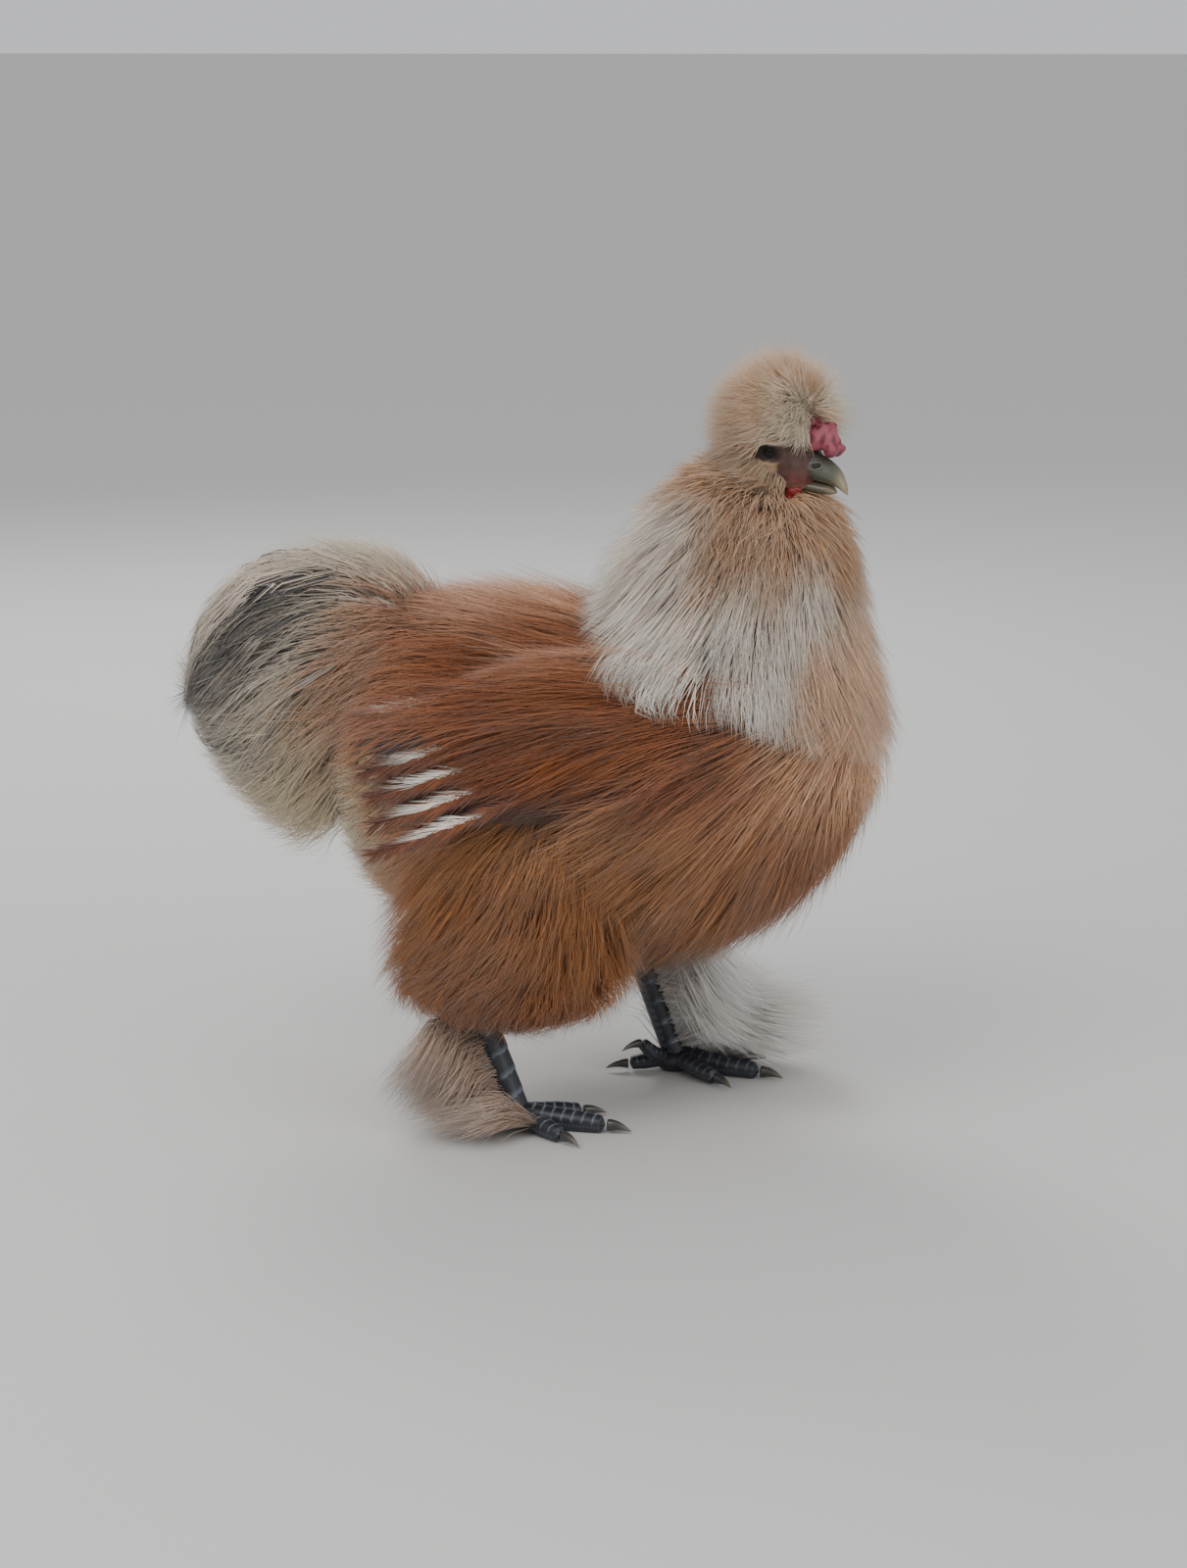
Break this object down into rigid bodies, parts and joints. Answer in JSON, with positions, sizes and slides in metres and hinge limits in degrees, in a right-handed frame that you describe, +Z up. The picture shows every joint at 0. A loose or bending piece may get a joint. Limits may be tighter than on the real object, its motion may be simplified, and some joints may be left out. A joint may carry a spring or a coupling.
{
  "type": "silkie cockerel, still life-size model",
  "caption": "Life-size still model of a silkie cockerel standing at rest: round crest, walnut comb, loose hackle, soft tail cushion and feathered feet.",
  "frame": {"origin": "on the floor, under the middle of the bird's bounding box", "axes": "+X towards the breast, +Y to the bird's left, +Z up"},
  "size_m": [0.3346, 0.2416, 0.3576],
  "materials": {
    "buff_plumage": "matte",
    "rust_plumage": "matte",
    "cream_plumage": "matte",
    "ash_plumage": "matte",
    "flesh": "satin",
    "horn": "satin",
    "claw": "satin",
    "slate_foot": "matte",
    "eye": "gloss"
  },
  "bodies": {
    "root": {"beak_lower": "horn", "beak_upper": "horn", "claw_fifth_left": "claw", "claw_fifth_right": "claw", "claw_hind_left": "claw", "claw_hind_right": "claw", "claw_inner_left": "claw", "claw_inner_right": "claw", "claw_middle_left": "claw", "claw_middle_right": "claw", "claw_outer_left": "claw", "claw_outer_right": "claw", "comb": "flesh", "crest": "cream_plumage", "eye_left": "eye", "eye_right": "eye", "foot_left": "slate_foot", "foot_right": "slate_foot", "head": "cream_plumage", "neck": "cream_plumage", "shank_left": "slate_foot", "shank_right": "slate_foot", "tail": "ash_plumage", "thigh_left": "buff_plumage", "thigh_right": "buff_plumage", "torso": "buff_plumage", "wattle_left": "flesh", "wattle_right": "flesh", "wing_left": "rust_plumage", "wing_right": "rust_plumage"}
  },
  "joints": []
}
